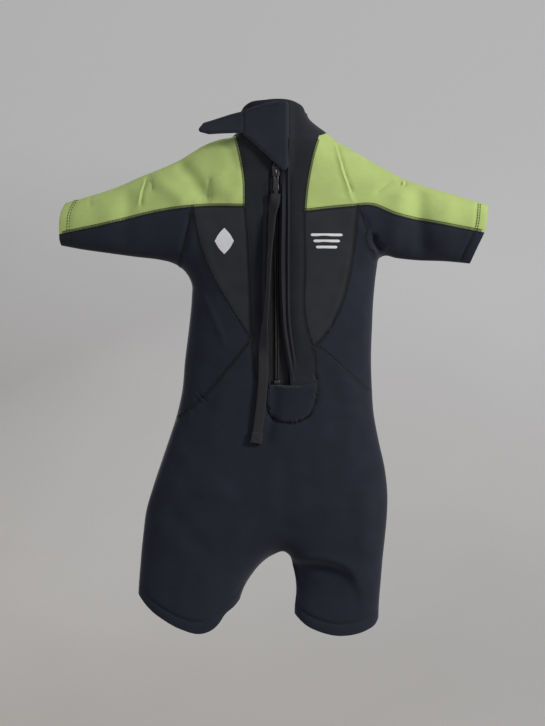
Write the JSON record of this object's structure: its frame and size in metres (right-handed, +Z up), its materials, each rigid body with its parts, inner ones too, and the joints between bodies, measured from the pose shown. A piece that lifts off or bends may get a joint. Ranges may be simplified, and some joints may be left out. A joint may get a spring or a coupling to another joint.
{
  "type": "children's shorty wetsuit",
  "caption": "Short-sleeved, short-legged neoprene wetsuit with back zip, pull leash, neck flap and contrast shoulder panels, hanging closed.",
  "frame": {"origin": "centre of the neck opening at the nape, level with the collar's top edge and midway between the front and back of the hanging suit", "axes": "+Z up towards the collar, +X towards the wearer's right seen from behind, the back with its zip faces -Y, so +Y goes through the chest"},
  "size_m": [0.494, 0.0753, 0.6211],
  "materials": {
    "green_jersey": "knitted nylon jersey, muted sage green",
    "navy_jersey": "knitted nylon jersey, very dark navy",
    "charcoal_jersey": "knitted nylon jersey, charcoal",
    "black_smoothskin": "matt smooth neoprene",
    "flap_jersey": "blue-grey jersey",
    "zip_tape": "woven polyester tape",
    "zip_coil": "nylon coil",
    "slider_metal": "dull plated metal",
    "leash_webbing": "woven webbing",
    "hook_patch": "hook and loop"
  },
  "bodies": {
    "suit": {"collar": "black_smoothskin", "collar_loop_patch": "hook_patch", "shoulder_panel_left": "green_jersey", "shoulder_panel_right": "green_jersey", "under_sleeve_left": "navy_jersey", "under_sleeve_right": "navy_jersey", "back_panel_left": "charcoal_jersey", "back_panel_right": "charcoal_jersey", "side_panel_left": "navy_jersey", "side_panel_right": "navy_jersey", "seat_panel": "navy_jersey", "front_chest_panel": "charcoal_jersey", "front_lower_panel": "navy_jersey", "zip_surround_left": "black_smoothskin", "zip_surround_right": "black_smoothskin", "lumbar_patch": "flap_jersey", "zip_tape_left": "zip_tape", "zip_tape_right": "zip_tape", "zip_coil_left": "zip_coil", "zip_coil_right": "zip_coil", "zip_bottom_stop": "slider_metal", "zip_top_stops": "slider_metal", "zip_backing_flap": "navy_jersey", "sleeve_hem_left": "navy_jersey", "sleeve_hem_right": "navy_jersey", "leg_hem_left": "navy_jersey", "leg_hem_right": "navy_jersey"},
    "slider": {"zip_slider": "slider_metal"},
    "pull_tab": {"pull_tab": "slider_metal"},
    "leash": {"pull_leash": "leash_webbing", "leash_end": "leash_webbing"},
    "neck_flap": {"neck_flap": "flap_jersey"},
    "collar_tab": {"collar_tab": "hook_patch", "tab_hook_patch": "hook_patch"}
  },
  "joints": [
    {"name": "zip_slide", "type": "slide", "parent": "suit", "child": "slider", "axis": [0.0052, 0, -1], "range_m": [0, 0.225]},
    {"name": "tab_swing", "type": "hinge", "parent": "slider", "child": "pull_tab", "pos_m": [-0.00696, -0.0361, -0.0884], "axis": [-1, 0, -0.0052], "range_deg": [0, 100]},
    {"name": "leash_swing", "type": "hinge", "parent": "pull_tab", "child": "leash", "pos_m": [-0.00685, -0.0361, -0.1076], "axis": [-1, 0, -0.0052], "range_deg": [-100, 0]},
    {"name": "flap_fold", "type": "hinge", "parent": "suit", "child": "neck_flap", "pos_m": [0.0046, -0.0388, -0.04], "axis": [0, 0, 1], "range_deg": [0, 155]},
    {"name": "tongue_fold", "type": "hinge", "parent": "neck_flap", "child": "collar_tab", "pos_m": [-0.04542, -0.03266, -0.03], "axis": [0, 0, 1], "range_deg": [-40, 90], "stiffness_Nm_per_rad": 0.004}
  ],
  "couplings": [
    {"joint": "leash_swing", "follows": "tab_swing", "ratio": -1}
  ]
}
